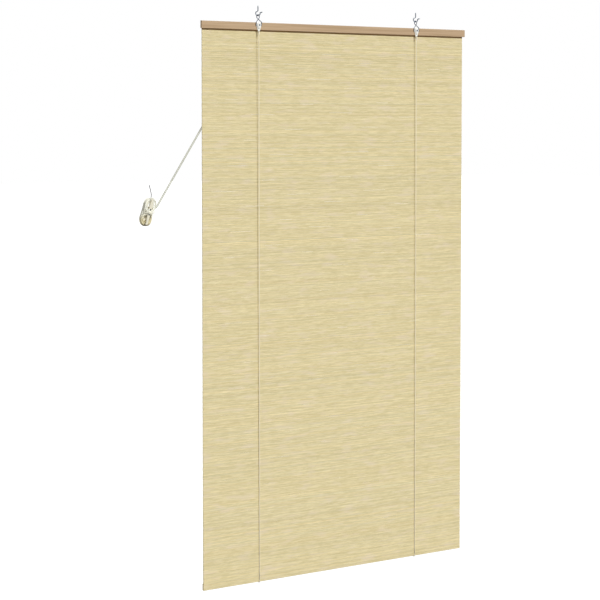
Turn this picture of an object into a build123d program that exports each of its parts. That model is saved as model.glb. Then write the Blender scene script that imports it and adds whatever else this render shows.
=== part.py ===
from build123d import *
from math import acos, asin, atan2, cos, degrees, hypot, radians, sin, sqrt, tan
import os

# Bamboo roller blind with cord lift, fully lowered, in millimetres
# X runs along the rail, Y from the room towards the wall, Z up.
# The origin is midway between the two ceiling hooks, in the plane where their threads
# enter the ceiling. The rail's thickness is centred on Y = 0, right under the hooks.

# Head rail
rail_length = 1000.0
rail_height = 21.0
rail_depth = 6.0
rail_rounding = 1.2
rail_drop = 36.0  # ceiling to the rail's top

# Reed mat
mat_width = 990.0
blind_drop = 1600.0  # rail's top to the mat's bottom edge
mat_inset = 1.0  # mat's top edge below the rail's top
mat_thickness = 2.4
groove_depth = 0.6
groove_width = 3.0  # across its mouth, between two crests
ridge_count = 266
gap_count = 110
gap_height = 0.4
gap_shortest = 30.0
gap_longest = 90.0
gap_margin = 70.0  # from the mat's side edges to the middle of the nearest gap
gap_free_rows = 8  # rows at the top and the bottom with no gap
seat_gap = 0.1  # between faces that lie on each other

# Bottom slat
slat_height = 18.0
slat_depth = 4.0
slat_inset = 1.5  # from the mat's edges
slat_rounding = 0.8

# Cord, and the two stations where it is fixed
cord_diameter = 2.0
station_spacing = 600.0
loop_shift = 5.0  # the loops under the mat lie this far to the right of the knots
loop_bend = 2.5
loop_rise = 8.0  # height of a loop's two legs
loop_gap = 0.7  # cord to mat or slat where the loop goes round them
cord_clearance = 1.0  # bottom slat to the nearest pull cord

# Ceiling hooks
hook_wire = 3.2
hook_thread_length = 9.0
hook_point_length = 3.0
hook_neck = 3.0
hook_reach = 6.6  # shank's axis to the bowl's side
hook_bowl_drop = 16.6  # ceiling to the middle of the wire under the bowl
hook_turn = 60.0  # degrees from the rail's direction
hook_shoulder_drop = 6.5
hook_tip_flare = 5.4
hook_tip_drop = 7.4
hook_lip_drop = 8.6  # where the bowl's open side bends outwards

# Rail hangers of bent wire
hanger_wire = 2.0
eye_width = 12.0  # between the middles of the eye's two sides
eye_side_drop = 13.0  # rail's top to the foot of the eye's sides, upwards
cross_front = 2.0  # the two legs pass each other at the foot of the eye
cross_back = 1.6
hanger_leg_drop = 10.0
hanger_leg_gap = 0.3

# Hanger plates
plate_head_radius = 8.5
plate_tip_radius = 2.9
plate_head_drop = 6.5
plate_tip_drop = 23.5
plate_thickness = 1.8
dome_height = 2.6
dome_inset = 1.4
dome_tail_drop = 15.5
dome_tail_radius = 3.2
dome_taper = 18.0
dome_rounding = 0.9
spare_hole_radius = 1.1
eyelet_radius = 1.3

# Screws
screw_radius = 1.5
screw_head_radius = 2.8
screw_head_height = 1.5
screw_shank_radius = 1.75
screw_head_rounding = 1.1
screw_point = 2.5
screw_slot = 0.8
screw_slot_length = 3.6
screw_slot_depth = 0.8
hanger_screw_drop = 7.0
hanger_screw_grip = 5.0
pulley_screw_spacing = 9.0
pulley_screw_drop = 11.0
pulley_screw_grip = 5.0
cleat_screw_grip = 16.0
hole_play = 0.05

# Knots
knot_ring_radius = 2.8
knot_radius = 2.9
knot_height = 6.5
knot_waist = 2.1

# Pulleys
pulley_drop = 52.0  # rail's top to the wheels' axis
wheel_width = 5.0
wheel_flange_radius = 7.5
wheel_cord_radius = 6.0  # axis to the middle of the cord
wheel_groove_play = 0.1
wheel_pitch = 5.6
wheel_hub_radius = 3.2
wheel_play = 0.2
axle_radius = 1.5
axle_play = 0.08
axle_head_radius = 2.6
axle_head_height = 1.1
bracket_sheet = 1.2
bracket_width = 16.0
bracket_top_drop = 6.0
bracket_roof_gap = 1.0
bracket_bend = 1.6
bracket_corner = 3.0

# Staples
staple_count = 10
staple_span = 960.0
staple_width = 8.0
staple_wire = 0.7
staple_grip = 4.5
staple_drop = 14.0

# Cleat on the wall, and the cord wound on it
cleat_x = -674.0
cleat_drop = 527.0  # rail's top to the cleat's middle
cleat_tilt = 17.0
wall_y = 25.0
cleat_front_y = 2.6
cleat_length = 74.0
cleat_horn_thickness = 6.0
cleat_horn_radius = 4.6
cleat_horn_shoulder = 12.0  # cleat's middle to where the horns start to narrow
cleat_tip_radius = 3.0
cleat_horn_rounding = 2.0
cleat_neck_length = 22.0
cleat_neck_width = 8.0
cleat_base_length = 36.0
cleat_base_width = 16.0
cleat_base_height = 4.5
cleat_base_rounding = 1.5
cleat_screw_spacing = 12.0
cleat_screw_seat = 2.2
winding_top_radius = 16.0
winding_bottom_radius = 18.0
winding_length = 80.0
winding_rounding = 2.5
winding_play = 0.3
wrap_width = 25.0  # the turns that cross in front of the cleat
wrap_length = 26.0
wrap_thickness = 3.6
wrap_rounding = 2.4
pull_corner_x = -643.0
pull_corner_drop = 514.0
pull_entry = 9.0  # above the cleat's middle, along its tilt
cord_hold = 3.0  # how far a cord's path goes on inside the winding
tail_rise = 7.0
tail_end_x = -667.7
tail_end_drop = 453.0

# Planes and places that follow from them
rail_top = -rail_drop
rail_bottom = rail_top - rail_height
rail_front = -rail_depth / 2
rail_back = rail_depth / 2
mat_front = rail_back + seat_gap
mat_back = mat_front + mat_thickness
mat_top = rail_top - mat_inset
mat_bottom = rail_top - blind_drop
ridge_pitch = (mat_top - mat_bottom) / ridge_count
slat_front = mat_back + seat_gap
slat_back = slat_front + slat_depth
cord_radius = cord_diameter / 2
near_cord_y = slat_back + cord_clearance + cord_radius
far_cord_y = near_cord_y + wheel_pitch
pulley_z = rail_top - pulley_drop
plate_front = rail_front - plate_thickness
dome_front = plate_front - dome_height
stations = {"left": -station_spacing / 2, "right": station_spacing / 2}
pulley_axes = {side: x - wheel_cord_radius for side, x in stations.items()}
cleat_z = rail_top - cleat_drop

os.makedirs("parts", exist_ok=True)


def keep(piece, name):
    """Name a finished piece and write it."""
    piece.part.label = name
    export_step(piece.part, f"parts/{name}.step")


def round_bar(path, radius):
    """A bar or cord of round section along a path."""
    line = path.wires()[0]
    with BuildPart() as bar:
        with BuildSketch(Plane(origin=line @ 0, z_dir=line % 0)):
            Circle(radius)
        sweep(path=line)
    return bar


def corner_radius(before, corner, after):
    """The largest arc that a limp cord's two runs leave room for."""
    first = Vector(*corner) - Vector(*before)
    second = Vector(*after) - Vector(*corner)
    turn = radians(first.get_angle(second))
    return 0.45 * min(first.length, second.length) / tan(turn / 2)


def facing_room(x, y, z):
    """A plane that looks into the room: its own x is X, and its own y is Z."""
    return Plane(origin=(x, y, z), x_dir=(1, 0, 0), z_dir=(0, -1, 0))


def facing_wall(x, y, z):
    """A plane that looks at the wall: its own x is X, and its own y is down."""
    return Plane(origin=(x, y, z), x_dir=(1, 0, 0), z_dir=(0, 1, 0))


def screw(grip, shank=0.0):
    """A cross-head wood screw, point down, with its head's underside at the origin.
    The thread is a plain cylinder. A shank, where there is one, is a little thicker."""
    with BuildPart() as body:
        with Locations((0, 0, screw_head_height / 2)):
            Cylinder(screw_head_radius, screw_head_height)
        fillet(body.edges().sort_by(Axis.Z)[-1], screw_head_rounding)
        with BuildSketch(Plane.XY.offset(screw_head_height)):
            Rectangle(screw_slot_length, screw_slot)
            Rectangle(screw_slot, screw_slot_length)
        extrude(amount=-screw_slot_depth, mode=Mode.SUBTRACT)
        with Locations((0, 0, -grip / 2)):
            Cylinder(screw_radius, grip)
        if shank:
            with Locations((0, 0, -shank / 2)):
                Cylinder(screw_shank_radius, shank)
        with Locations((0, 0, -grip - screw_point / 2)):
            Cone(0.2, screw_radius, screw_point)
    return body.part


# Places of the screws
hanger_screw_places = [(x, rail_top - hanger_screw_drop) for x in stations.values()]
pulley_screw_places = [
    (x + half * pulley_screw_spacing / 2, rail_top - pulley_screw_drop)
    for x in pulley_axes.values()
    for half in (-1, 1)
]

# Staples through the mat into the rail, whose holes they cut
with BuildPart() as mat_staples:
    for number in range(staple_count):
        x = (number / (staple_count - 1) - 0.5) * staple_span
        with BuildSketch(Plane.XY.offset(rail_top - staple_drop - staple_wire / 2)):
            with Locations((x, mat_back + staple_wire / 2)):
                Rectangle(staple_width, staple_wire)
            for half in (-1, 1):
                with Locations((x + half * (staple_width - staple_wire) / 2,
                                (mat_back + rail_back - staple_grip) / 2)):
                    Rectangle(staple_wire, mat_back - rail_back + staple_grip)
        extrude(amount=staple_wire)
keep(mat_staples, "mat_staples")

# Head rail, with pilot holes from both sides
with BuildPart() as head_rail:
    with Locations((0, 0, (rail_top + rail_bottom) / 2)):
        Box(rail_length, rail_depth, rail_height)
    fillet(head_rail.edges().filter_by(Axis.X), rail_rounding)
    with BuildSketch(facing_room(0, rail_front, 0)):
        with Locations(*hanger_screw_places):
            Circle(screw_radius + hole_play)
    extrude(amount=-(hanger_screw_grip + hole_play), mode=Mode.SUBTRACT)
    with BuildSketch(facing_room(0, rail_back, 0)):
        with Locations(*pulley_screw_places):
            Circle(screw_radius + hole_play)
    extrude(amount=pulley_screw_grip + hole_play, mode=Mode.SUBTRACT)
    add(mat_staples.part, mode=Mode.SUBTRACT)
keep(head_rail, "head_rail")

# Reed mat: one wall, ridged on both faces, with gaps between some of the reeds
gap_rows = ridge_count - 2 * gap_free_rows
row_stride = 61  # shares no factor with the number of rows, so no row is used twice
golden = (sqrt(5) - 1) / 2
with BuildPart() as mat:
    with BuildSketch(Plane.YZ.offset(-mat_width / 2)):
        with BuildLine():
            for row in range(ridge_count):
                low = mat_bottom + row * ridge_pitch
                for valley, crest in (
                    (mat_front + groove_depth, mat_front),
                    (mat_back - groove_depth, mat_back),
                ):
                    Polyline(
                        (valley, low),
                        (crest, low + groove_width / 2),
                        (crest, low + ridge_pitch - groove_width / 2),
                        (valley, low + ridge_pitch),
                    )
            for edge in (mat_bottom, mat_top):
                Line((mat_front + groove_depth, edge), (mat_back - groove_depth, edge))
        make_face()
    extrude(amount=mat_width)
    with BuildSketch(Plane.XZ):
        for gap in range(gap_count):
            row = gap_free_rows + gap * row_stride % gap_rows
            share = gap * golden % 1
            length = gap_shortest + (gap_longest - gap_shortest) * (gap * sqrt(2) % 1)
            with Locations(((share - 0.5) * (mat_width - 2 * gap_margin),
                            mat_bottom + row * ridge_pitch)):
                Rectangle(length, gap_height)
    extrude(amount=2 * mat_back, both=True, mode=Mode.SUBTRACT)
    with BuildSketch(facing_room(0, mat_front, 0)):
        with Locations(*pulley_screw_places):
            Circle(screw_radius + hole_play)
    extrude(amount=-mat_thickness, mode=Mode.SUBTRACT)
    add(mat_staples.part, mode=Mode.SUBTRACT)
keep(mat, "mat")

# Bottom slat, behind the mat's bottom edge
with BuildPart() as bottom_slat:
    with Locations((0, (slat_front + slat_back) / 2, mat_bottom + slat_inset + slat_height / 2)):
        Box(mat_width - 2 * slat_inset, slat_depth, slat_height)
    fillet(bottom_slat.edges().filter_by(Axis.X), slat_rounding)
keep(bottom_slat, "bottom_slat")

def ceiling_hook(x):
    """A screw hook of round wire: thread up, bowl open to the room."""
    def place(reach, z):
        return (x + reach * cos(radians(hook_turn)), -reach * sin(radians(hook_turn)), z)

    with BuildLine() as path:
        FilletPolyline(
            place(0, 0),
            place(0, -hook_neck),
            place(-hook_reach, -hook_shoulder_drop),
            place(-hook_reach, -hook_bowl_drop),
            place(hook_reach, -hook_bowl_drop),
            place(hook_reach, -hook_lip_drop),
            place(hook_reach + hook_tip_flare, -hook_tip_drop),
            radius=[2.0, 3.0, hook_reach - 0.2, hook_reach - 0.5, 1.6],
        )
    line = path.wires()[0]
    with BuildPart() as hook:
        with BuildSketch(Plane(origin=line @ 0, z_dir=line % 0)):
            Circle(hook_wire / 2)
        sweep(path=line)
        with Locations(line @ 1):
            Sphere(hook_wire / 2)
        with BuildSketch(Plane.XY):
            with Locations((x, 0)):
                Circle(hook_wire / 2)
        extrude(amount=hook_thread_length)
        with Locations((x, 0, hook_thread_length + hook_point_length / 2)):
            Cone(hook_wire / 2, 0.2, hook_point_length)
    return hook


def rail_hanger(x):
    """One bent wire: an eye on the hook's bowl, crossed legs, and two ends on the rail's front."""
    leg_y = rail_front - hanger_wire / 2 - seat_gap
    leg_x = plate_head_radius + hanger_wire / 2 + hanger_leg_gap
    eye_top = -hook_bowl_drop + (hook_wire + hanger_wire) / 2 + seat_gap
    half_eye = eye_width / 2
    with BuildLine() as path:
        FilletPolyline(
            (x + leg_x, leg_y, rail_top - hanger_leg_drop),
            (x + leg_x, leg_y, rail_top + 1.0),
            (x - half_eye + 0.3, -cross_front, rail_top + eye_side_drop),
            (x - half_eye, -0.7, eye_top),
            (x + half_eye, 0.7, eye_top),
            (x + half_eye - 0.3, cross_back, rail_top + eye_side_drop),
            (x - leg_x, leg_y, rail_top + 1.0),
            (x - leg_x, leg_y, rail_top - hanger_leg_drop),
            radius=[2.6, 2.6, half_eye - 0.6, half_eye - 0.6, 2.6, 2.6],
        )
    return round_bar(path, hanger_wire / 2)


def hanger_plate(x):
    """A domed teardrop with a screw hole, a spare hole and an eyelet for the cord at its tip."""
    with BuildPart() as plate:
        with BuildSketch(facing_room(x, rail_front, rail_top)):
            with Locations((0, -plate_head_drop)):
                Circle(plate_head_radius)
            with Locations((0, -plate_tip_drop)):
                Circle(plate_tip_radius)
            make_hull()
        extrude(amount=plate_thickness)
        with BuildSketch(facing_room(x, plate_front, rail_top)):
            with Locations((0, -plate_head_drop)):
                Circle(plate_head_radius - dome_inset)
            with Locations((0, -dome_tail_drop)):
                Circle(dome_tail_radius)
            make_hull()
        extrude(amount=dome_height, taper=dome_taper)
        fillet(plate.faces().sort_by(Axis.Y)[0].edges(), dome_rounding)
        with BuildSketch(facing_room(x, rail_front, rail_top)):
            with Locations((0, -hanger_screw_drop)):
                Circle(screw_radius + hole_play)
            with Locations((0, -dome_tail_drop)):
                Circle(spare_hole_radius)
            with Locations((0, -plate_tip_drop)):
                Circle(eyelet_radius)
        extrude(amount=plate_thickness + dome_height, mode=Mode.SUBTRACT)
    return plate


def cord_knot(x):
    """The cord's end tied through the eyelet: a small ring and the knot under it."""
    ring_y = (rail_front + plate_front) / 2
    ring_z = rail_top - plate_tip_drop - knot_ring_radius
    knot_z = ring_z - knot_ring_radius - 0.3 * knot_height
    with BuildPart() as knot:
        with BuildSketch(Plane(origin=(x, ring_y, ring_z + knot_ring_radius),
                               x_dir=(1, 0, 0), z_dir=(0, 1, 0))):
            Circle(cord_radius)
        revolve(axis=Axis((x, ring_y, ring_z), (1, 0, 0)))
        with BuildSketch(Plane(origin=(x, ring_y, knot_z), x_dir=(1, 0, 0), z_dir=(0, -1, 0))):
            with BuildLine():
                Line((0, knot_height / 2), (0, -knot_height / 2))
                for end in (-1, 1):
                    Line((0, end * knot_height / 2), (cord_radius, end * knot_height / 2))
                    ThreePointArc(
                        (cord_radius, end * knot_height / 2),
                        (knot_radius, end * knot_height / 4),
                        (knot_waist, 0),
                    )
            make_face()
        revolve(axis=Axis((x, ring_y, knot_z), (0, 0, 1)))
    return knot


# Pieces that hang the rail, once at each station
for side, x in stations.items():
    keep(ceiling_hook(x), f"ceiling_hook_{side}")
    keep(rail_hanger(x), f"rail_hanger_{side}")
    keep(hanger_plate(x), f"hanger_plate_{side}")
    keep(cord_knot(x), f"cord_knot_{side}")

with BuildPart() as hanger_screws:
    with Locations(*[facing_room(x, dome_front, z) for x, z in hanger_screw_places]):
        add(screw(plate_thickness + dome_height + hanger_screw_grip - screw_point))
keep(hanger_screws, "hanger_screws")


# Pulleys behind the rail: two wheels at the left, one at the right
leaf_front = slat_front
leaf_back = leaf_front + bracket_sheet
wheel_planes = {"left": [near_cord_y, far_cord_y], "right": [near_cord_y]}


def bracket_back(side):
    """The outer face of a bracket's rear cheek."""
    return wheel_planes[side][-1] + wheel_width / 2 + 2 * wheel_play + bracket_sheet


def pulley_bracket(side):
    """Bent sheet: a leaf on the mat's back, a roof over the wheels, and a rear cheek."""
    x = pulley_axes[side]
    leaf_top = rail_top - bracket_top_drop
    roof = pulley_z + wheel_flange_radius + bracket_roof_gap
    low = pulley_z - bracket_width / 2
    back = bracket_back(side)
    with BuildPart() as bracket:
        with BuildSketch(Plane.YZ.offset(x - bracket_width / 2)):
            with BuildLine():
                outline = Polyline(
                    (leaf_front, low),
                    (leaf_front, leaf_top),
                    (leaf_back, leaf_top),
                    (leaf_back, roof + bracket_sheet),
                    (back, roof + bracket_sheet),
                    (back, low),
                    (back - bracket_sheet, low),
                    (back - bracket_sheet, roof),
                    (leaf_back, roof),
                    (leaf_back, low),
                    close=True,
                )
            make_face()
            fillet(
                [v for v in vertices() if abs(v.Y - roof - bracket_sheet) < 0.01
                 and abs(v.X - back) < 0.01],
                bracket_bend,
            )
        extrude(amount=bracket_width)
        with BuildSketch(facing_room(x, back, pulley_z)) as outline:
            with Locations((0, (leaf_top - pulley_z) / 2)):
                Rectangle(bracket_width, leaf_top - pulley_z)
            fillet(outline.vertices().group_by(Axis.Y)[-1], bracket_corner)
            Circle(bracket_width / 2)
        extrude(amount=back - leaf_front, mode=Mode.INTERSECT)
        with BuildSketch(facing_room(x, back, pulley_z)):
            Circle(axle_radius + hole_play)
        extrude(amount=back - leaf_front, mode=Mode.SUBTRACT)
        with BuildSketch(facing_room(0, leaf_back, 0)):
            with Locations(*pulley_screw_places):
                Circle(screw_radius + hole_play)
        extrude(amount=bracket_sheet, mode=Mode.SUBTRACT)
    return bracket


def pulley_axle(side):
    """A plain pin through both cheeks, with a flat head behind the rear one."""
    x, back = pulley_axes[side], bracket_back(side)
    with BuildPart() as axle:
        with BuildSketch(facing_wall(x, leaf_front, pulley_z)):
            Circle(axle_radius)
        extrude(amount=back - leaf_front + hole_play)
        with BuildSketch(facing_wall(x, back + hole_play, pulley_z)):
            Circle(axle_head_radius)
        extrude(amount=axle_head_height)
        chamfer(axle.faces().sort_by(Axis.Y)[-1].edges(), 0.3)
    return axle


def pulley_wheel(x, y, hub_front):
    """A grooved nylon wheel with a hub that reaches forward to hub_front."""
    half = wheel_width / 2
    groove = cord_radius + wheel_groove_play
    with BuildPart() as wheel:
        with BuildSketch(Plane(origin=(x, y, pulley_z), x_dir=(0, 1, 0), z_dir=(1, 0, 0))):
            with Locations((0, (axle_radius + wheel_flange_radius) / 2)):
                Rectangle(wheel_width, wheel_flange_radius - axle_radius)
            with Locations((0, wheel_cord_radius)):
                Circle(groove, mode=Mode.SUBTRACT)
            with Locations((0, wheel_cord_radius + wheel_flange_radius / 2)):
                Rectangle(2 * groove, wheel_flange_radius, mode=Mode.SUBTRACT)
            hub = y - half - hub_front
            with Locations((-half - hub / 2, (axle_radius + wheel_hub_radius) / 2)):
                Rectangle(hub, wheel_hub_radius - axle_radius)
            with Locations((0, axle_radius / 2)):
                Rectangle(2 * wheel_width + 2 * hub, axle_radius + 2 * axle_play,
                          mode=Mode.SUBTRACT)
        revolve(axis=Axis((x, y, pulley_z), (0, 1, 0)))
    return wheel


for side, x in pulley_axes.items():
    keep(pulley_bracket(side), f"pulley_bracket_{side}")
    keep(pulley_axle(side), f"pulley_axle_{side}")
keep(pulley_wheel(pulley_axes["left"], near_cord_y, leaf_back + wheel_play), "pulley_wheel_left_near")
keep(
    pulley_wheel(pulley_axes["left"], far_cord_y, near_cord_y + wheel_width / 2 + wheel_play),
    "pulley_wheel_left_far",
)
keep(pulley_wheel(pulley_axes["right"], near_cord_y, leaf_back + wheel_play), "pulley_wheel_right")

with BuildPart() as pulley_screws:
    with Locations(*[facing_wall(x, leaf_back, z) for x, z in pulley_screw_places]):
        add(screw(leaf_back - rail_back + pulley_screw_grip - screw_point))
keep(pulley_screws, "pulley_screws")


# Lift cords: down the front, round under the mat, and up the back to the pulleys
knot_end_y = (rail_front + plate_front) / 2
knot_end_z = rail_top - plate_tip_drop - 2 * knot_ring_radius - 0.8 * knot_height
loop_front_y = mat_front - loop_gap - cord_radius
loop_back_y = slat_back + loop_gap + cord_radius
loop_top_z = mat_bottom + loop_rise
loop_low_z = mat_bottom - loop_gap - cord_radius
cord_planes = {"left": far_cord_y, "right": near_cord_y}


def straight_cord(start, end):
    """A cord that hangs straight."""
    with BuildLine() as path:
        Line(start, end)
    return round_bar(path, cord_radius)


def cord_loop(x):
    """The piece of cord that goes round under the mat and the slat."""
    with BuildLine() as path:
        FilletPolyline(
            (x, loop_front_y, loop_top_z),
            (x, loop_front_y, loop_low_z),
            (x, loop_back_y, loop_low_z),
            (x, loop_back_y, loop_top_z),
            radius=loop_bend,
        )
    return round_bar(path, cord_radius)


for side, x in stations.items():
    low_x = x + loop_shift
    front = straight_cord((x, knot_end_y, knot_end_z), (low_x, loop_front_y, loop_top_z))
    back = straight_cord((low_x, loop_back_y, loop_top_z), (x, cord_planes[side], pulley_z))
    keep(front, f"front_cord_{side}")
    keep(cord_loop(low_x), f"cord_loop_{side}")
    keep(back, f"back_cord_{side}")


def cleat_plane(y):
    """A plane that looks into the room, at the cleat's middle and with its tilt."""
    tilt = radians(cleat_tilt)
    return Plane(origin=(cleat_x, y, cleat_z), x_dir=(cos(tilt), 0, -sin(tilt)), z_dir=(0, -1, 0))


def at_cleat(across, along, y):
    """A point given across the cleat and along it."""
    return tuple(cleat_plane(y).from_local_coords((across, along, 0)))


# The winding's outline: two round ends of different size
winding_top = winding_length / 2 - winding_top_radius
winding_low = winding_bottom_radius - winding_length / 2
winding_slope = asin((winding_bottom_radius - winding_top_radius) / (winding_top - winding_low))
winding_half_width = (winding_top_radius / cos(winding_slope)
                      + (winding_top - pull_entry) * tan(winding_slope))

# Cleat on the wall
horn_back = cleat_front_y + cleat_horn_thickness
base_front = wall_y - cleat_base_height
cleat_screw_places = [(0, half * cleat_screw_spacing / 2) for half in (-1, 1)]
with BuildPart() as cleat:
    with BuildSketch(cleat_plane(wall_y)):
        SlotOverall(cleat_base_length, cleat_base_width, rotation=90)
    extrude(amount=cleat_base_height)
    fillet(cleat.faces().sort_by(Axis.Y)[0].edges(), cleat_base_rounding)
    with BuildSketch(cleat_plane(horn_back)):
        for end in (-1, 1):
            with Locations((0, end * cleat_horn_shoulder)):
                Circle(cleat_horn_radius)
            with Locations((0, end * (cleat_length / 2 - cleat_tip_radius))):
                Circle(cleat_tip_radius)
        make_hull()
    extrude(amount=cleat_horn_thickness)
    fillet(
        cleat.faces().sort_by(Axis.Y)[0].edges()
        + cleat.faces().filter_by(Axis.Y).filter_by_position(
            Axis.Y, horn_back - hole_play, horn_back + hole_play)[0].edges(),
        cleat_horn_rounding,
    )
    with BuildSketch(cleat_plane(base_front)):
        SlotOverall(cleat_neck_length, cleat_neck_width, rotation=90)
    extrude(amount=base_front - horn_back)
    with BuildSketch(cleat_plane(wall_y)):
        with Locations(*cleat_screw_places):
            Circle(screw_shank_radius + hole_play)
    extrude(amount=wall_y - cleat_front_y, mode=Mode.SUBTRACT)
    with BuildSketch(cleat_plane(cleat_front_y)):
        with Locations(*cleat_screw_places):
            Circle(screw_head_radius + hole_play)
    extrude(amount=-cleat_screw_seat, mode=Mode.SUBTRACT)
keep(cleat, "cleat")

cleat_screw_shank = wall_y - cleat_front_y - cleat_screw_seat
with BuildPart() as cleat_screws:
    seat_plane = cleat_plane(cleat_front_y + cleat_screw_seat)
    with Locations(seat_plane):
        with Locations(*cleat_screw_places):
            add(screw(cleat_screw_shank + cleat_screw_grip, cleat_screw_shank))
keep(cleat_screws, "cleat_screws")

# Cord wound round the cleat's neck, with the turns that cross in front
with BuildPart() as cord_winding:
    with BuildSketch(cleat_plane(base_front - winding_play)):
        with Locations((0, winding_top)):
            Circle(winding_top_radius)
        with Locations((0, winding_low)):
            Circle(winding_bottom_radius)
        make_hull()
    extrude(amount=base_front - horn_back - 2 * winding_play)
    fillet(cord_winding.edges().filter_by(Axis.Y, reverse=True), winding_rounding)
    with BuildSketch(cleat_plane((base_front + horn_back) / 2)):
        RectangleRounded(wrap_width, wrap_length, wrap_rounding)
    extrude(amount=(base_front + horn_back) / 2 - cleat_front_y + winding_play + wrap_thickness)
    fillet(cord_winding.faces().sort_by(Axis.Y)[0].edges(), wrap_rounding)
    with BuildSketch(cleat_plane(cleat_front_y - winding_play)):
        Rectangle(2 * (cleat_horn_radius + winding_play), cleat_length)
    extrude(amount=-(cleat_horn_thickness + 2 * winding_play), mode=Mode.SUBTRACT)
    with BuildSketch(cleat_plane(base_front)):
        SlotOverall(cleat_neck_length + 2 * winding_play, cleat_neck_width + 2 * winding_play,
                    rotation=90)
    extrude(amount=base_front - horn_back, mode=Mode.SUBTRACT)
keep(cord_winding, "cord_winding")

# Pull cords, from the pulleys to the winding, and the cross cord between the pulleys
pull_corner_z = rail_top - pull_corner_drop


def cut_at_winding(path):
    """A cord whose end meets the winding's surface."""
    with BuildPart() as cord:
        add(round_bar(path, cord_radius).part)
        add(cord_winding.part, mode=Mode.SUBTRACT)
    return cord


def leaving_angle(x):
    """The angle round a wheel at which a straight cord leaves for the cleat."""
    away_x, away_z = pull_corner_x - x, pull_corner_z - pulley_z
    distance = hypot(away_x, away_z)
    return degrees(atan2(away_z, away_x) - acos(wheel_cord_radius / distance)) % 360


def pull_cord(y, start_angle):
    """A cord that goes over a left wheel, straight down to the cleat and into the winding."""
    x = pulley_axes["left"]
    corner = (pull_corner_x, y, pull_corner_z)
    entry = at_cleat(winding_half_width - cord_hold, pull_entry, y)
    with BuildLine() as path:
        with BuildLine(facing_room(x, y, pulley_z)):
            over = CenterArc((0, 0), wheel_cord_radius, start_angle, leaving_angle(x) - start_angle)
        leaving = tuple(over @ 1)
        bend = corner_radius(leaving, corner, entry)
        FilletPolyline(leaving, corner, entry, radius=bend)
    print("pull cord: bend", round(bend, 2), "length", round(path.wires()[0].length, 1))
    return cut_at_winding(path)


keep(pull_cord(far_cord_y, 0), "pull_cord_left")
keep(pull_cord(near_cord_y, 90), "pull_cord_right")

cord_level = pulley_z + wheel_cord_radius
with BuildLine() as path:
    with BuildLine(facing_room(pulley_axes["right"], near_cord_y, pulley_z)):
        CenterArc((0, 0), wheel_cord_radius, 0, 90)
    Line((pulley_axes["right"], near_cord_y, cord_level),
         (pulley_axes["left"], near_cord_y, cord_level))
keep(round_bar(path, cord_radius), "cross_cord")

# The short end that stands up from the winding
tail_y = (cleat_front_y + cleat_horn_thickness + wall_y - cleat_base_height) / 2
tail = [
    at_cleat(0, winding_length / 2 - cord_hold, tail_y),
    at_cleat(0, winding_length / 2 + tail_rise, tail_y),
    (tail_end_x, tail_y, rail_top - tail_end_drop),
]
tail_bend = corner_radius(*tail)
with BuildLine() as path:
    FilletPolyline(*tail, radius=tail_bend)
print("cord end: bend", round(tail_bend, 2), "length", round(path.wires()[0].length, 1))
keep(cut_at_winding(path), "cord_end")
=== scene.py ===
"""Bamboo roller blind: materials, reeds and cords, dressed over the CAD frame. Metres."""
import math
import random

import bpy
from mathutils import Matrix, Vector


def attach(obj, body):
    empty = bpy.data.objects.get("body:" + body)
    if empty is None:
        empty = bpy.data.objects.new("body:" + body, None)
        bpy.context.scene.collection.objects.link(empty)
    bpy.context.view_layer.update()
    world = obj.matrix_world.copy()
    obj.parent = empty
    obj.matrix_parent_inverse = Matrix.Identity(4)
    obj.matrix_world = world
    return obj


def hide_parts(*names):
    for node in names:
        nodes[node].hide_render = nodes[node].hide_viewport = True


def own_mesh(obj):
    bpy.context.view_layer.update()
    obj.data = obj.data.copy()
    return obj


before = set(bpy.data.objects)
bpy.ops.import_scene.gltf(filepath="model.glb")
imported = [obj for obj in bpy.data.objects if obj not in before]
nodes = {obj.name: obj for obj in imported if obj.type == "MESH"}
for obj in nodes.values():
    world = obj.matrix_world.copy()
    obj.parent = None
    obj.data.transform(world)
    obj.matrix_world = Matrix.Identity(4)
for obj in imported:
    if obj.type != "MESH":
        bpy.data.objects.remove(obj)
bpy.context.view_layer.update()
MM = 0.001

# Rail and mat, as in the CAD, in millimetres
RAIL_TOP = -36.0
RAIL_BOTTOM = RAIL_TOP - 21.0
MAT_TOP = RAIL_TOP - 1.0
MAT_BOTTOM = RAIL_TOP - 1600.0
MAT_WIDTH = 990.0
MAT_FRONT = 3.1
MAT_BACK = 5.5
RIDGES = 266

# See-through gaps between ridges, as in the CAD
GAPS = 110
GAP_FREE_ROWS = 8  # at the top and at the bottom
GAP_STRIDE = 61  # rows from one gap to the next, so that no row is used twice
GAP_SHORTEST = 30.0
GAP_LONGEST = 90.0
GAP_MARGIN = 70.0  # from the mat's side edges to the middle of the nearest gap

# Reeds
REEDS_PER_RIDGE = 3
REEDS = REEDS_PER_RIDGE * RIDGES
REED_PITCH = (MAT_TOP - MAT_BOTTOM) / REEDS
CREST_HALF_DEPTH = 1.2  # of the middle reed of a ridge
FLANK_HALF_DEPTH = 1.06  # of the two beside it
REED_OVERLAP = 0.12  # a reed reaches this far into the next one
GAP_SETBACK = 0.2  # and stays this far inside its row at a gap
GAP_REACH = 1.0  # a section this near to a gap counts as beside it
GAP_TAPER = 4.0  # length over which a reed closes a gap's end
GAP_CLEAR = 9.0  # from a gap's end to a reed's other sections
REED_BAYS = 9  # lengths between a reed's sections
BAY_SCATTER = 0.3  # as a share of a bay
END_SCATTER = 0.9  # how far a reed may fall short of the mat's edge
DEPTH_WAVE = 0.05
THINNEST = 0.97  # share of its full depth that the thinnest reed has
TONE_SPREAD = 0.04
WARM_SPREAD = 0.012
BLUE_LOSS = 1.6  # a warm reed loses this much more blue than it gains red
ROW_STEP = 0.618  # takes each reed's noise far from its neighbour's
ROW_SPREAD = 400.0
PAINTED_SHADOW_DEPTH = 4.2  # height of the band of reeds painted dark below the rail, as the rail's shadow
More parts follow.
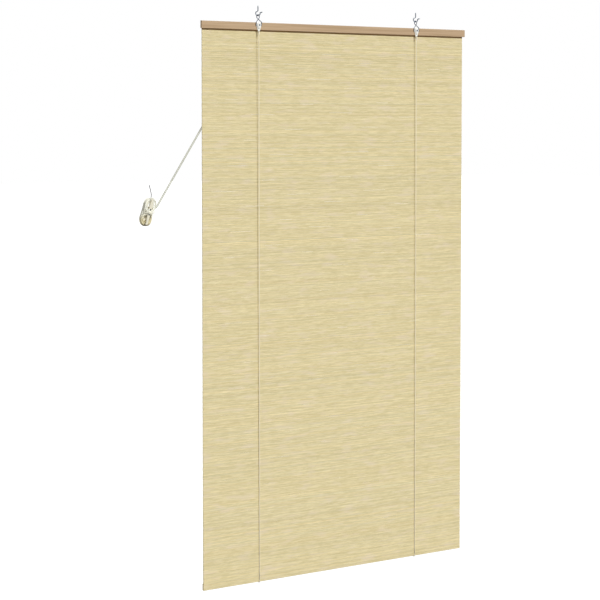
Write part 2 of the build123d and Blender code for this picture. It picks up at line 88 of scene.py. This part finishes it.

# A reed's section, as shares of its half height and half depth
REED_SECTION = [(-0.76, -1.0), (0.76, -1.0), (1.0, -0.72), (1.0, 0.72),
                (0.76, 1.0), (-0.76, 1.0), (-1.0, 0.72), (-1.0, -0.72)]

# Cord, stations and pulleys, as in the CAD
CORD = 2.0
STATIONS = {"left": -300.0, "right": 300.0}
WHEEL_REACH = 6.0  # wheel's axis to the middle of its cord
LEFT_AXIS = STATIONS["left"] - WHEEL_REACH
PULLEY_Z = RAIL_TOP - 52.0
NEAR_Y = 11.6
FAR_Y = 17.2
PLATE_TIP = RAIL_TOP - 23.5
KNOT_RING = 5.6  # height of the ring below the plate's tip
KNOT = 5.2  # from the ring's foot to the knot's lower end
KNOT_END = PLATE_TIP - KNOT_RING - KNOT
KNOT_Y = -3.9
LOOP_SHIFT = 5.0
LOOP_RISE = 8.0  # height of the legs of the loop below
LOOP_LEGS_Y = {"front": 1.4, "back": 11.3}

# Pull cords, from the left wheels to the cleat
LEAVE_ANGLE = 144.4  # degrees round the wheel at which a cord leaves it, towards the cleat
ARC_STEP = 30.0  # degrees between the corners of a path round a wheel
AFTER_WHEEL = 3.0
BEFORE_CORNER = 14.0
CORNER = {"X": -643.0, "Z": RAIL_TOP - 514.0}  # where the cords turn in to the cleat
ENTRY = (17.0, 9.0)  # across the cleat and along it
CLEAT = {"X": -674.0, "Z": RAIL_TOP - 527.0}
TILT = math.radians(17.0)
TURN_REACH = 39.0  # cleat's middle to the far ends of the widest turns
LOBE_SWELL = 1.04  # a curve's corners lie outside the curve
FIGURE_EIGHTS = 4

# Cord lengths in metres, and the fineness of the upright cords
FAR_LENGTH = 2.4
NEAR_LENGTH = 2.98
STRAND_STEPS = 60
TUBE_SIDES = 10

# Floor, in metres
FLOOR_REACH = 60.0
FLOOR_Z = -2.4  # room height below the ceiling


# Materials
def material(name, color, roughness=0.5, metallic=0.0, **sockets):
    """A new material with its shader's plain values set."""
    mat = bpy.data.materials.new(name)
    mat.use_nodes = True
    shader = mat.node_tree.nodes["Principled BSDF"]
    shader.inputs["Base Color"].default_value = (*color, 1.0)
    shader.inputs["Roughness"].default_value = roughness
    shader.inputs["Metallic"].default_value = metallic
    for socket, value in sockets.items():
        shader.inputs[socket.replace("_", " ")].default_value = value
    return mat


def add_node(owner, kind, **settings):
    """A node in a material or world. Settings are its inputs' values or its own."""
    node = owner.node_tree.nodes.new(kind)
    for key, value in settings.items():
        if key in node.inputs:
            node.inputs[key].default_value = value
        else:
            setattr(node, key, value)
    return node


def link(owner, source, target):
    """Joins an output to an input in a material or world."""
    owner.node_tree.links.new(source, target)


def coordinates(mat, stretch):
    """Object coordinates, scaled along each axis."""
    place = add_node(mat, "ShaderNodeTexCoord")
    scale = add_node(mat, "ShaderNodeMapping", Scale=stretch)
    link(mat, place.outputs["Object"], scale.inputs["Vector"])
    return scale.outputs["Vector"]


def noise(mat, stretch, detail=3.0, distortion=0.0):
    """Noise over the object, finer along an axis with more stretch."""
    texture = add_node(mat, "ShaderNodeTexNoise", Scale=1.0, Detail=detail, Roughness=0.6,
                       Distortion=distortion)
    link(mat, coordinates(mat, stretch), texture.inputs["Vector"])
    return texture.outputs["Fac"]


def own_noise(mat, frequency):
    """Noise along x that starts afresh on every reed."""
    row = add_node(mat, "ShaderNodeVertexColor", layer_name="row")
    place = add_node(mat, "ShaderNodeVectorMath", operation="MULTIPLY_ADD")
    place.inputs[1].default_value = (ROW_SPREAD, ROW_SPREAD, ROW_SPREAD)
    link(mat, row.outputs["Color"], place.inputs[0])
    link(mat, coordinates(mat, (frequency, 0.0, 0.0)), place.inputs[2])
    texture = add_node(mat, "ShaderNodeTexNoise", Scale=1.0, Detail=2.0, Roughness=0.6)
    link(mat, place.outputs["Vector"], texture.inputs["Vector"])
    return texture.outputs["Fac"]


def ramp(mat, factor, stops):
    """Colours between stops, each given by its position and its colour."""
    node = add_node(mat, "ShaderNodeValToRGB")
    elements = node.color_ramp.elements
    for element, (position, color) in zip(elements, stops):
        element.position = position
        element.color = (*color, 1.0)
    link(mat, factor, node.inputs["Fac"])
    return node.outputs["Color"]


def spread(mat, factor, start, stop):
    """0 where a texture is below the first value, 1 where it is above the second."""
    return ramp(mat, factor, [(start, (0, 0, 0)), (stop, (1, 1, 1))])


def mix(mat, factor, first, second, mode="MIX"):
    """Mixes two colours. The factor and the colours are plain values or sockets."""
    node = add_node(mat, "ShaderNodeMix", data_type="RGBA", blend_type=mode)
    if isinstance(factor, float):
        node.inputs[0].default_value = factor
    else:
        link(mat, factor, node.inputs[0])
    for socket, value in ((node.inputs[6], first), (node.inputs[7], second)):
        if isinstance(value, tuple):
            socket.default_value = (*value, 1.0)
        else:
            link(mat, value, socket)
    return node.outputs[2]


def to_shader(mat, output, socket):
    """Drives one of the shader's sockets."""
    link(mat, output, mat.node_tree.nodes["Principled BSDF"].inputs[socket])


def to_color(mat, output):
    """Drives the shader's colour."""
    to_shader(mat, output, "Base Color")


def to_roughness(mat, factor, low, high):
    """Roughness that follows a texture between two values."""
    node = add_node(mat, "ShaderNodeMapRange")
    node.inputs["To Min"].default_value = low
    node.inputs["To Max"].default_value = high
    link(mat, factor, node.inputs["Value"])
    to_shader(mat, node.outputs["Result"], "Roughness")


def to_bump(mat, height, distance, strength):
    """Fine relief, with its depth in metres."""
    node = add_node(mat, "ShaderNodeBump", Strength=strength, Distance=distance)
    link(mat, height, node.inputs["Height"])
    to_shader(mat, node.outputs["Normal"], "Normal")


def srgb(red, green, blue):
    """A colour written as it looks, from 0 to 255."""
    return tuple(((c / 255 + 0.055) / 1.055) ** 2.4 if c > 10 else c / 255 / 12.92
                 for c in (red, green, blue))


def reed_material():
    """Split bamboo: each reed has its own tone, with streaks, fine fibres and warmer clouds. The
    tone also carries the shadow painted on the reeds below the rail.
    """
    mat = material("split_bamboo", srgb(220, 207, 163), roughness=0.62)
    tone = add_node(mat, "ShaderNodeVertexColor", layer_name="tone")
    fibres = noise(mat, (14.0, 900.0, 900.0), detail=4.0)
    streaks = own_noise(mat, 24.0)
    clouds = noise(mat, (13.0, 2.0, 64.0), detail=2.0)
    base = mix(mat, spread(mat, streaks, 0.4, 0.66), srgb(211, 198, 152), srgb(227.5, 214.5, 172))
    base = mix(mat, spread(mat, clouds, 0.53, 0.69), base, srgb(223, 209, 176))
    shade = ramp(mat, fibres, [(0.2, (0.92, 0.9, 0.86)), (0.75, (1.0, 1.0, 1.0))])
    base = mix(mat, 1.0, base, shade, "MULTIPLY")
    to_color(mat, mix(mat, 1.0, base, tone.outputs["Color"], "MULTIPLY"))
    to_roughness(mat, fibres, 0.5, 0.72)
    to_bump(mat, fibres, 0.00015, 0.5)
    return mat


def lath_material(name, light, dark):
    """Planed bamboo lath with long grain."""
    mat = material(name, light)
    grain = noise(mat, (5.0, 500.0, 420.0), detail=5.0, distortion=0.4)
    broad = noise(mat, (1.6, 60.0, 60.0), detail=2.0)
    shade = ramp(mat, broad, [(0.3, (0.9, 0.88, 0.86)), (0.7, (1, 1, 1))])
    color = mix(mat, spread(mat, grain, 0.3, 0.72), dark, light)
    to_color(mat, mix(mat, 1.0, color, shade, "MULTIPLY"))
    to_roughness(mat, grain, 0.42, 0.62)
    to_bump(mat, grain, 0.0002, 0.35)
    return mat


def zinc_material(name, dark, light):
    """Zinc plating with faint drawing marks."""
    mat = material(name, dark, roughness=0.34, metallic=1.0)
    marks = noise(mat, (900.0, 900.0, 240.0))
    patches = noise(mat, (160.0, 160.0, 160.0), detail=2.0)
    to_color(mat, ramp(mat, patches, [(0.3, dark), (0.7, light)]))
    to_roughness(mat, marks, 0.22, 0.42)
    to_bump(mat, marks, 0.00005, 0.3)
    return mat


def plastic_material(name, color, roughness):
    """Moulded plastic with a faint skin."""
    mat = material(name, color, roughness=roughness)
    skin = noise(mat, (700.0, 700.0, 700.0), detail=2.0)
    haze = noise(mat, (60.0, 60.0, 60.0), detail=2.0)
    darker = tuple(0.93 * c for c in color)
    to_color(mat, mix(mat, haze, color, darker))
    to_roughness(mat, haze, roughness - 0.06, roughness + 0.08)
    to_bump(mat, skin, 0.0001, 0.25)
    return mat


def share_from_cleat(mat, axis, start, stop):
    """0 to 1 along an axis, from one place to another, in millimetres from the cleat's middle."""
    place = add_node(mat, "ShaderNodeTexCoord")
    split = add_node(mat, "ShaderNodeSeparateXYZ")
    share = add_node(mat, "ShaderNodeMapRange")
    share.inputs["From Min"].default_value = (CLEAT[axis] + start) * MM
    share.inputs["From Max"].default_value = (CLEAT[axis] + stop) * MM
    link(mat, place.outputs["Object"], split.inputs["Vector"])
    link(mat, split.outputs[axis], share.inputs["Value"])
    return share.outputs["Result"]


def cord_material(name, clean, soiled, tones_and_painted_shade=()):
    """Braided cotton with random soiling and shade painted into the braid's furrows. Each tone
    given is mixed in over a band measured from the cleat.
    """
    mat = material(name, clean, roughness=0.8, Sheen_Weight=0.25, Sheen_Roughness=0.5)
    braid = add_node(mat, "ShaderNodeTexVoronoi", Scale=1.0)
    link(mat, coordinates(mat, (2100.0, 2100.0, 1100.0)), braid.inputs["Vector"])
    soil = noise(mat, (40.0, 40.0, 25.0))
    color = mix(mat, spread(mat, soil, 0.35, 0.75), clean, soiled)
    for axis, start, stop, tone in tones_and_painted_shade:
        color = mix(mat, share_from_cleat(mat, axis, start, stop), color, tone)
    # painted shade: the braid's furrows are drawn darker
    furrow_shade = ramp(mat, braid.outputs["Distance"], [(0.35, (1, 1, 1)), (0.8, (0.86, 0.85, 0.81))])
    to_color(mat, mix(mat, 1.0, color, furrow_shade, "MULTIPLY"))
    height = add_node(mat, "ShaderNodeMath", operation="SUBTRACT")
    height.inputs[0].default_value = 1.0
    link(mat, braid.outputs["Distance"], height.inputs[1])
    to_bump(mat, height.outputs[0], 0.0003, 0.5)
    return mat


REED = reed_material()
PAINTED_RAIL_SHADOW = (0.4, 0.27, 0.15, 1.0)  # painted shadow: the dark brown tone of the reeds just below the rail, standing in for the rail's shadow on the mat
# painted reflection: the zinc is drawn darker grey than bare zinc, standing in for the dark room
# it reflects
ZINC = zinc_material("zinc_wire", srgb(100, 107, 116), srgb(142, 147, 154))
CORDS = cord_material("braided_cord", srgb(250, 243, 222), srgb(238, 228, 202))
# The pull cords have random soiling, and shade painted on the winding's lower turns.
PULLED = cord_material("pull_cord_soil_and_painted_shade", srgb(253, 253, 243), srgb(245, 242, 222), tones_and_painted_shade=[
    ("Z", -3.0, -21.0, srgb(234, 224, 184)),  # painted shade: lower turns drawn darker beige, as in the shadow of the turns above
    ("Z", -29.0, -37.0, srgb(112, 104, 76)),  # painted shade: dark undersides of the lowest turns
    ("Z", 37.0, 42.0, srgb(46, 46, 46)),  # the end above the winding
    ("X", 21.0, 28.0, srgb(184, 185, 160)),  # the taut run
])

# Finishes by the start of a node's name. The first that fits counts.
FINISHES = {
    "head_rail": lath_material("lath_bamboo", srgb(201, 174, 141), srgb(171, 143, 108)),
    "bottom_slat": lath_material("slat_bamboo", srgb(204, 184, 140), srgb(180, 156, 110)),
    "mat_staples": ZINC,
    "mat": REED,
    # painted shade: the hanger's wire is drawn near black, standing in for its shade and the dark
    # room it reflects
    "rail_hanger": zinc_material("zinc_wire_painted_shade", srgb(48, 58, 73), srgb(76, 86, 101)),
    "hanger_plate": plastic_material("plate_enamel", srgb(246, 246, 240), 0.28),
    "pulley_wheel": plastic_material("wheel_nylon", srgb(232, 230, 220), 0.42),
    "cleat_screws": ZINC,
    "cleat": plastic_material("cleat_plastic", srgb(228, 222, 200), 0.34),
}


def finish_of(name):
    """A node's finish. Cords aside, what has none of its own is metal."""
    for start, finish in FINISHES.items():
        if name.startswith(start):
            return finish
    return CORDS if "cord" in name else ZINC


for name, obj in nodes.items():
    obj.data.materials.clear()
    obj.data.materials.append(finish_of(name))


# Meshes
def mesh_object(name, points, faces, finish, smooth=True):
    """A mesh in the shared frame, from points in millimetres."""
    mesh = bpy.data.meshes.new(name)
    mesh.from_pydata([(x * MM, y * MM, z * MM) for x, y, z in points], [], faces)
    mesh.materials.append(finish)
    mesh.polygons.foreach_set("use_smooth", [smooth] * len(mesh.polygons))
    mesh.update()
    obj = bpy.data.objects.new(name, mesh)
    bpy.context.scene.collection.objects.link(obj)
    return obj


def bar_faces(first, rings, around, flip=False):
    """Sides and ends of a bar, from the number of its first point. Flip turns its faces round."""
    faces = []
    for ring in range(rings - 1):
        for side in range(around):
            a = first + ring * around + side
            b = first + ring * around + (side + 1) % around
            if flip:
                faces.append((a, a + around, b + around, b))
            else:
                faces.append((a, b, b + around, a + around))
    last = first + (rings - 1) * around
    start_cap = tuple(first + side for side in range(around))
    end_cap = tuple(last + side for side in range(around))
    if flip:
        return faces + [start_cap, end_cap[::-1]]
    return faces + [start_cap[::-1], end_cap]


# Reed mat
def gap_list():
    """The CAD's see-through gaps: the row under which each lies, and its two ends."""
    rows = RIDGES - 2 * GAP_FREE_ROWS
    golden = (math.sqrt(5) - 1) / 2
    gaps = {}
    for gap in range(GAPS):
        row = GAP_FREE_ROWS + gap * GAP_STRIDE % rows
        middle = (gap * golden % 1 - 0.5) * (MAT_WIDTH - 2 * GAP_MARGIN)
        length = GAP_SHORTEST + (GAP_LONGEST - GAP_SHORTEST) * (gap * math.sqrt(2) % 1)
        gaps.setdefault(row, []).append((middle - length / 2, middle + length / 2))
    return gaps


def reed_color(rng):
    """A reed's own tone, a little warmer or cooler than the next."""
    tone = 1.0 + rng.gauss(0.0, TONE_SPREAD)
    warm = rng.gauss(0.0, WARM_SPREAD)
    return (tone * (1 + warm), tone, tone * (1 - BLUE_LOSS * warm), 1.0)


def reed_stations(rng, openings):
    """Places of a reed's sections, with two at each end of a gap."""
    left = -MAT_WIDTH / 2 + rng.uniform(0.0, END_SCATTER)
    right = MAT_WIDTH / 2 - rng.uniform(0.0, END_SCATTER)
    stations = [left]
    for bay in range(1, REED_BAYS):
        place = bay + rng.uniform(-BAY_SCATTER, BAY_SCATTER)
        stations.append(left + (right - left) * place / REED_BAYS)
    stations.append(right)
    for start, end in openings:
        stations = [x for x in stations if x <= start - GAP_CLEAR or x >= end + GAP_CLEAR]
        stations += [start - GAP_TAPER, start, end, end + GAP_TAPER]
    return sorted(stations)


def setback(x, openings):
    """How far a reed's edge stays inside its row: less than none where it overlaps the next."""
    beside_gap = any(start - GAP_REACH < x < end + GAP_REACH for start, end in openings)
    return GAP_SETBACK if beside_gap else -REED_OVERLAP


def reed_mat():
    """Three reeds to a ridge, the middle one standing proud, as thin closed bars."""
    rng = random.Random(11)
    gaps = gap_list()
    middle_y = (MAT_FRONT + MAT_BACK) / 2
    around = len(REED_SECTION)
    points = []
    faces = []
    tones_and_painted_shade = []
    rows = []
    for reed in range(REEDS):
        ridge, place = divmod(reed, REEDS_PER_RIDGE)
        low = MAT_BOTTOM + reed * REED_PITCH
        high = low + REED_PITCH
        below = gaps.get(ridge, []) if place == 0 else []
        above = gaps.get(ridge + 1, []) if place == REEDS_PER_RIDGE - 1 else []
        thick = CREST_HALF_DEPTH if place == 1 else FLANK_HALF_DEPTH
        thick *= rng.uniform(THINNEST, 1.0)
        color = reed_color(rng)
        # reeds just below the rail get the painted shadow, on their front faces
        in_painted_shadow = RAIL_BOTTOM - PAINTED_SHADOW_DEPTH < low < RAIL_BOTTOM
        stations = reed_stations(rng, below + above)
        faces += bar_faces(len(points), len(stations), around, flip=True)
        for x in stations:
            depth = min(thick + rng.uniform(-DEPTH_WAVE, DEPTH_WAVE), CREST_HALF_DEPTH)
            bottom = low if reed == 0 else low + setback(x, below)
            top = high if reed == REEDS - 1 else high - setback(x, above)
            middle = (top + bottom) / 2
            half = (top - bottom) / 2
            for up, back in REED_SECTION:
                points.append((x, middle_y + back * depth, middle + up * half))
                tones_and_painted_shade.append(PAINTED_RAIL_SHADOW if in_painted_shadow and back < 0 else color)
                rows.append((0.0, reed / REEDS, reed * ROW_STEP % 1, 1.0))
    obj = mesh_object("reeds", points, faces, REED, smooth=False)
    for layer_name, colors in (("tone", tones_and_painted_shade), ("row", rows)):
        layer = obj.data.color_attributes.new(layer_name, "FLOAT_COLOR", "POINT")
        layer.data.foreach_set("color", [c for color in colors for c in color])
    return obj


reeds = reed_mat()
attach(reeds, "hanging_blind")
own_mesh(reeds)
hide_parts("mat")


# Pull cords and their winding
def spline_cord(name, points):
    """A cord as one smooth open curve through the route's points in millimetres."""
    curve = bpy.data.curves.new(name, "CURVE")
    curve.dimensions = "3D"
    curve.bevel_depth = CORD * MM / 2
    curve.bevel_resolution = 2
    curve.resolution_u = 4
    curve.use_fill_caps = True
    spline = curve.splines.new("NURBS")
    spline.points.add(len(points) - 1)
    for point, (x, y, z) in zip(spline.points, points):
        point.co = (x * MM, y * MM, z * MM, 1.0)
    spline.order_u = 3
    spline.use_endpoint_u = True
    curve.materials.append(PULLED)
    obj = bpy.data.objects.new(name, curve)
    bpy.context.scene.collection.objects.link(obj)
    return obj


def at_cleat(across, along, y):
    """A point given across the cleat and along it, from its middle."""
    x = CLEAT["X"] + across * math.cos(TILT) + along * math.sin(TILT)
    z = CLEAT["Z"] - across * math.sin(TILT) + along * math.cos(TILT)
    return (x, y, z)


def round_wheel(y, start, stop):
    """Corners of a path that lies on a left wheel from one angle to another, with its end."""
    steps = round((stop - start) / ARC_STEP)
    step = (stop - start) / steps
    reach = WHEEL_REACH / math.cos(math.radians(step / 2))
    corners = [(reach, start + step * (i + 0.5)) for i in range(steps)] + [(WHEEL_REACH, stop)]
    return [(LEFT_AXIS + r * math.cos(math.radians(a)), y,
             PULLEY_Z + r * math.sin(math.radians(a))) for r, a in corners]


def pull_route(y, start):
    """From the wheel down to the winding, taut."""
    arc = round_wheel(y, start, LEAVE_ANGLE)
    corner = (CORNER["X"], y, CORNER["Z"])
    toward = Vector(corner) - Vector(arc[-1])
    toward.normalize()
    after = Vector(arc[-1]) + AFTER_WHEEL * toward
    before = Vector(corner) - BEFORE_CORNER * toward
    return arc + [tuple(after), tuple(before), corner, at_cleat(*ENTRY, y)]


def lobe(end, reach, width, y, direction, lean=0.0, lead=0.0):
    """Corners round the top or bottom of a turn, with a straight lead to it where one is given."""
    angles = [-90, -45, 0, 45, 90] if direction > 0 else [90, 45, 0, -45, -90]
    corners = [(LOBE_SWELL * width * math.sin(math.radians(a)),
                reach - width + LOBE_SWELL * width * math.cos(math.radians(a))) for a in angles]
    if lead:
        straight = reach - width - lead
        corners = [(corners[0][0], straight)] + corners + [(corners[-1][0], straight)]
    return [at_cleat(lean + across, end * along, y) for across, along in corners]


def racetracks(layers, rng):
    """Flat turns round the cleat's neck, each given by its inset and its depth."""
    lower_half = 17.0
    upper_half = 15.0
    right_side = 16.0
    left_side = -15.8
    side_along = 4.0
    lead = 6.0
    upper_back = 0.2  # a turn lies this much nearer to the wall at its upper end
    right_front = 0.3  # and this much further from it at its right side
    narrow_inset = 8.0  # turns further inside than this are narrower, by these shares
    lower_share = 1.3
    upper_share = 0.5
    lean_share = 1.4  # and lean to the left below, where they are nearer to the wall than this
    lean_y = 14.0
    points = []
    for inset, y in layers:
        reach = TURN_REACH - inset + rng.uniform(-0.4, 0.2)
        pinch = max(0.0, inset - narrow_inset)
        lean = -lean_share * pinch if y > lean_y else 0.0
        lower = lower_half - inset - lower_share * pinch
        upper = upper_half - inset - upper_share * pinch
        points += [at_cleat(right_side - inset, side_along, y - right_front)]
        points += lobe(-1, reach, lower, y, -1, lean=lean, lead=lead)
        points += [at_cleat(left_side + inset, side_along, y)]
        points += lobe(1, reach, upper, y + upper_back, 1, lead=lead)
    return points


def crossing(corners, shift):
    """Corners from the cleat's left to its right in front of it, shifted along it."""
    return [at_cleat(across, shift + along, y) for across, along, y in corners]


def figure_eights(count, rng):
    """Turns that cross in front of the cleat, once each way, and end at its upper right."""
    front_y = 10.2
    layer = 0.3  # every other turn lies this much nearer to the wall
    shrink = 0.8  # and is this much smaller
    step = 2.4  # along the cleat, from one turn's crossing to the next
    lower_half = 16.8
    upper_half = 16.4
    upper_lean = 2.4
    upper_front = 0.8  # a turn lies this much further from the wall at its upper end
    rising = [(-11.5, -8.0, 8.0), (-6.0, -3.4, -0.1), (6.0, 3.4, -0.1), (11.5, 8.0, 8.0)]
    falling = [(-11.5, 9.0, 8.0), (-6.0, 4.4, 1.7), (6.0, -2.4, 1.7), (11.5, -7.0, 8.0)]
    points = []
    for turn in range(count):
        odd = turn % 2
        y = front_y + layer * odd
        shift = (turn - (count - 1) / 2) * step
        grow = rng.uniform(-0.6, 0.2) - shrink * odd
        reach = TURN_REACH + grow
        points += lobe(-1, reach, lower_half + grow, y, -1)
        points += crossing(rising, shift)
        if turn < count - 1:
            points += lobe(1, reach, upper_half + grow, y - upper_front, -1, lean=upper_lean)
            points += crossing(falling, shift)
    return points


def far_route(rng):
    """The left cord's route: off the far wheel and into the inner turns, where it ends."""
    layers = [(0.0, 14.6), (0.1, 16.9), (0.0, 19.1), (2.4, 18.4), (2.5, 15.9), (4.8, 17.2),
              (4.9, 19.2), (7.2, 18.2), (7.3, 15.4), (9.8, 18.8), (9.9, 16.6)]
    return ([(STATIONS["left"], FAR_Y, PULLEY_Z)] + pull_route(FAR_Y, 0.0)
            + racetracks(layers, rng)
            + [at_cleat(8.0, 2.0, 16.0), at_cleat(7.0, -8.0, 15.5)])


def near_route(rng):
    """The right cord's route: flat turns, figures of eight, a wrap in front and a free end."""
    layers = [(0.1, 12.3), (2.4, 11.3), (2.5, 13.6), (4.9, 12.4), (4.8, 10.2), (7.2, 12.8),
              (9.8, 14.4), (9.8, 12.2), (7.3, 10.4)]
    last_turn = lobe(1, TURN_REACH + 2.0, 17.0, 8.9, -1, lean=2.0)
    wrap = [(-16.8, 12.0, 7.2), (-15.5, 2.5, 2.0), (-9.5, -2.0, -3.2), (0.0, -2.6, -4.4),
            (9.0, -1.0, -3.4), (14.5, 2.5, 0.8), (14.8, 8.5, 6.0)]
    free_end = [(9.5, 15.5, 9.6), (4.0, 24.5, 10.6), (1.0, 33.0, 13.0), (0.0, 41.0, 14.5),
                (-0.3, 48.0, 14.5)]
    tip = [(-662.3, 14.5, -506.0), (-667.7, 14.5, -489.2)]
    return ([(LEFT_AXIS, NEAR_Y, PULLEY_Z + WHEEL_REACH)] + pull_route(NEAR_Y, 90.0)
            + racetracks(layers, rng) + figure_eights(FIGURE_EIGHTS, rng) + last_turn
            + [at_cleat(*point) for point in wrap + free_end] + tip)


rng = random.Random(5)
far_points = far_route(rng)
near_points = near_route(rng)
far_cord = spline_cord("lift_cord_far", far_points)
near_cord = spline_cord("lift_cord_near", near_points)
for cord, start, length, end in ((far_cord, far_points[0], FAR_LENGTH, "object"),
                                 (near_cord, near_points[0], NEAR_LENGTH, "bare")):
    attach(cord, "hanging_blind")
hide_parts("pull_cord_left")
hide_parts("pull_cord_right", "cord_winding", "cord_end")


# Upright cords, from their tops down to the loop below the mat
def tube(name, points, finish):
    """A cord through points in millimetres, one below another."""
    rings = []
    for i, point in enumerate(points):
        here = Vector(point)
        ahead = Vector(points[min(i + 1, len(points) - 1)]) - Vector(points[max(i - 1, 0)])
        side = ahead.cross(Vector((0, 1, 0))).normalized()
        up = side.cross(ahead).normalized()
        for k in range(TUBE_SIDES):
            turn = 2 * math.pi * k / TUBE_SIDES
            rings.append(tuple(here + CORD / 2 * (math.cos(turn) * side + math.sin(turn) * up)))
    return mesh_object(name, rings, bar_faces(0, len(points), TUBE_SIDES), finish)


def strand_points(part, top, low):
    """Down from one point to another. A back strand hangs straight for its upper half."""
    points = []
    for step in range(STRAND_STEPS + 1):
        down = step / STRAND_STEPS
        drift = max(0.0, 2 * down - 1) if part == "back" else down
        point = Vector(top).lerp(Vector(low), drift)
        points.append((point.x, point.y, top[2] + (low[2] - top[2]) * down))
    return points


for side, x in STATIONS.items():
    tops = {"front": (x, KNOT_Y, KNOT_END),
            "back": (x, FAR_Y if side == "left" else NEAR_Y, PULLEY_Z)}
    for part, top in tops.items():
        low = (x + LOOP_SHIFT, LOOP_LEGS_Y[part], MAT_BOTTOM + LOOP_RISE)
        length = top[2] - low[2]
        cord = tube(f"{part}_strand_{side}", strand_points(part, top, low), CORDS)
        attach(cord, "hanging_blind")
        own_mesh(cord)
        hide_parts(f"{part}_cord_{side}")


# Stage: a floor and a world that are seen as white and light the blind softly
def seen_by_rays(owner):
    """1 for camera, glossy and transmission rays, 0 for the rays that carry light."""
    path = add_node(owner, "ShaderNodeLightPath")
    total = path.outputs["Is Camera Ray"]
    for kind in ("Is Glossy Ray", "Is Transmission Ray"):
        either = add_node(owner, "ShaderNodeMath", operation="MAXIMUM")
        link(owner, total, either.inputs[0])
        link(owner, path.outputs[kind], either.inputs[1])
        total = either.outputs[0]
    return total


def stage_material():
    """Grey as a source of light, and white with a soft shadow to the camera."""
    mat = bpy.data.materials.new("studio_white")
    mat.use_nodes = True
    mat.node_tree.nodes.clear()
    out = add_node(mat, "ShaderNodeOutputMaterial")
    diffuse = add_node(mat, "ShaderNodeBsdfDiffuse", Color=(0.5, 0.5, 0.5, 1))
    glow = add_node(mat, "ShaderNodeEmission", Color=(1, 1, 1, 1), Strength=0.6)
    total = add_node(mat, "ShaderNodeAddShader")
    choose = add_node(mat, "ShaderNodeMixShader")
    link(mat, diffuse.outputs[0], total.inputs[0])
    link(mat, glow.outputs[0], total.inputs[1])
    link(mat, seen_by_rays(mat), choose.inputs[0])
    link(mat, diffuse.outputs[0], choose.inputs[1])
    link(mat, total.outputs[0], choose.inputs[2])
    link(mat, choose.outputs[0], out.inputs["Surface"])
    return mat


floor_corners = [(FLOOR_REACH * x, FLOOR_REACH * y, FLOOR_Z)
                 for x, y in ((-1, -1), (1, -1), (1, 1), (-1, 1))]
floor_mesh = bpy.data.meshes.new("floor")
floor_mesh.from_pydata(floor_corners, [], [(0, 1, 2, 3)])
floor_mesh.materials.append(stage_material())
floor = bpy.data.objects.new("floor", floor_mesh)
bpy.context.scene.collection.objects.link(floor)

world = bpy.data.worlds.new("studio")
bpy.context.scene.world = world
world.use_nodes = True
background = world.node_tree.nodes["Background"]
background.inputs["Color"].default_value = (1, 1, 1, 1)
level = add_node(world, "ShaderNodeMapRange")
level.inputs["To Min"].default_value = 0.33
level.inputs["To Max"].default_value = 1.0
link(world, seen_by_rays(world), level.inputs["Value"])
link(world, level.outputs["Result"], background.inputs["Strength"])


# Lamps: a key from the room and above, and a fill for the back of the blind alone
def sun(name, energy, angle, place, direction):
    """A sun lamp, which lights the whole drop alike."""
    light = bpy.data.lights.new(name, "SUN")
    light.energy = energy
    light.angle = math.radians(angle)
    obj = bpy.data.objects.new(name, light)
    obj.location = place
    obj.rotation_euler = Vector(direction).to_track_quat("-Z", "Y").to_euler()
    bpy.context.scene.collection.objects.link(obj)


sun("key", 2.52, 5.0, (0, -3, 2), (-0.24, 1.0, -0.84))
sun("fill", 1.9, 20.0, (0, 3, 2), (-0.3, -1.0, -0.6))

# Camera: the photograph's long lens, aimed by the outline of the blind in it
camera = bpy.data.cameras.new("camera")
camera.lens = 130.72
camera.sensor_width = 36.0
camera.shift_y = -0.06
camera_object = bpy.data.objects.new("camera", camera)
camera_object.location = (-4.1138, -4.8763, -0.3235)
camera_object.rotation_euler = (math.radians(90 - 3.666), 0, math.radians(-39.129))
bpy.context.scene.collection.objects.link(camera_object)
bpy.context.scene.camera = camera_object
bpy.context.scene.view_settings.view_transform = "Standard"
